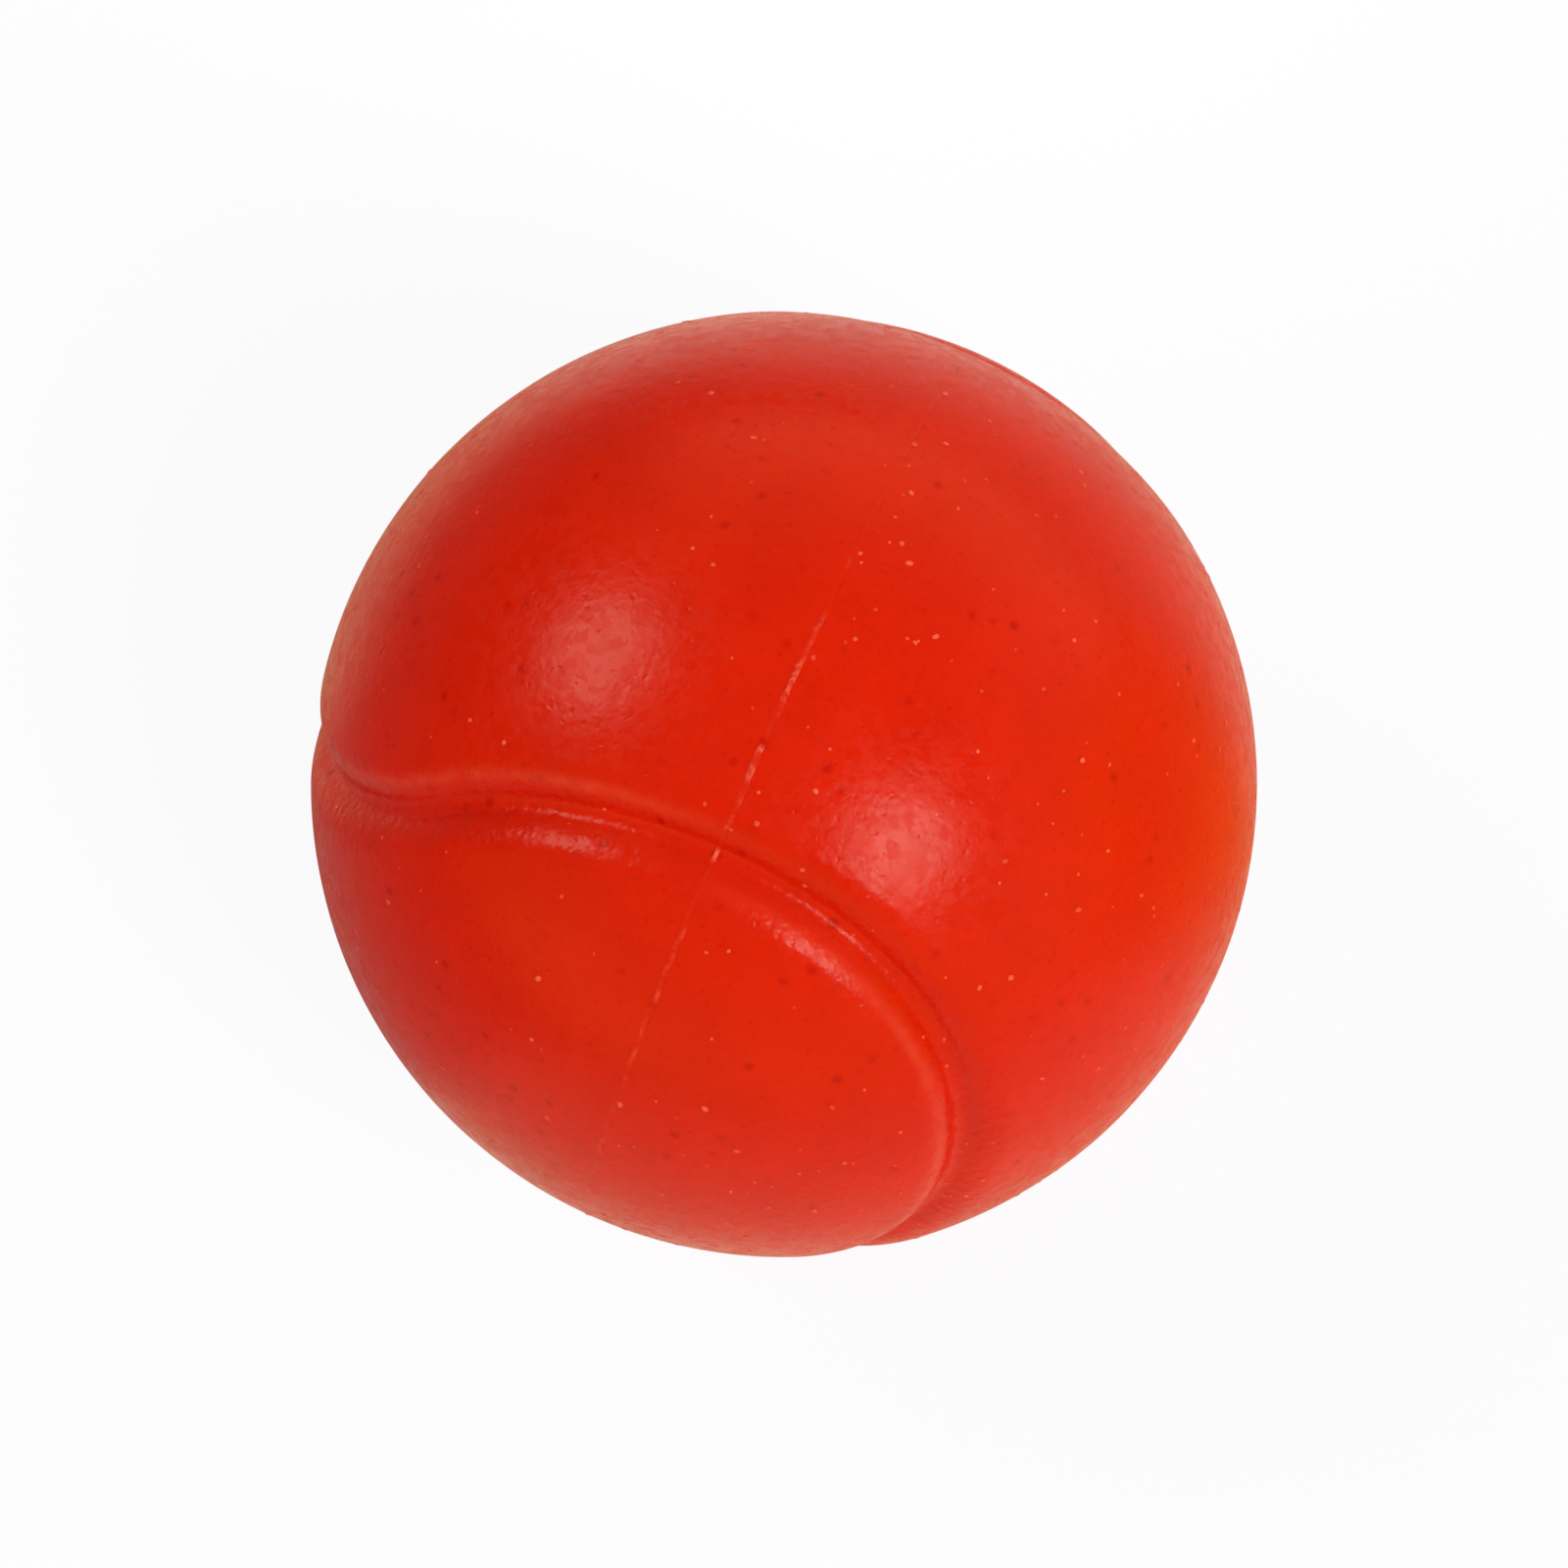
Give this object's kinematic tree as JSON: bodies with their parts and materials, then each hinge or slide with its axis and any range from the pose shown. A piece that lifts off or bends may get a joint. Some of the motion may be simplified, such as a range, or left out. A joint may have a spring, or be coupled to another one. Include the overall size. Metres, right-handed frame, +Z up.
{
  "type": "foam ball",
  "caption": "Soft moulded foam play ball with a curved tennis-style seam groove, a smooth matt skin and a faint parting line, for throwing, catching and soft bat games.",
  "frame": {"origin": "centre of the ball", "axes": "+Z up as the ball lies in the picture, +X square to the parting plane that the two mould halves share, -Y towards the front lobe of the seam"},
  "size_m": [0.0699, 0.0703, 0.0703],
  "materials": {
    "core_foam": "open cellular foam, dull",
    "skin_foam": "dense moulded foam skin, semi-matt, fine grain",
    "flash_foam": "thin moulded fin of skin foam, semi-matt, paler where it was trimmed"
  },
  "bodies": {
    "root": {"foam_core": "core_foam", "skin_left": "skin_foam", "skin_right": "skin_foam", "parting_flash": "flash_foam"}
  },
  "joints": []
}
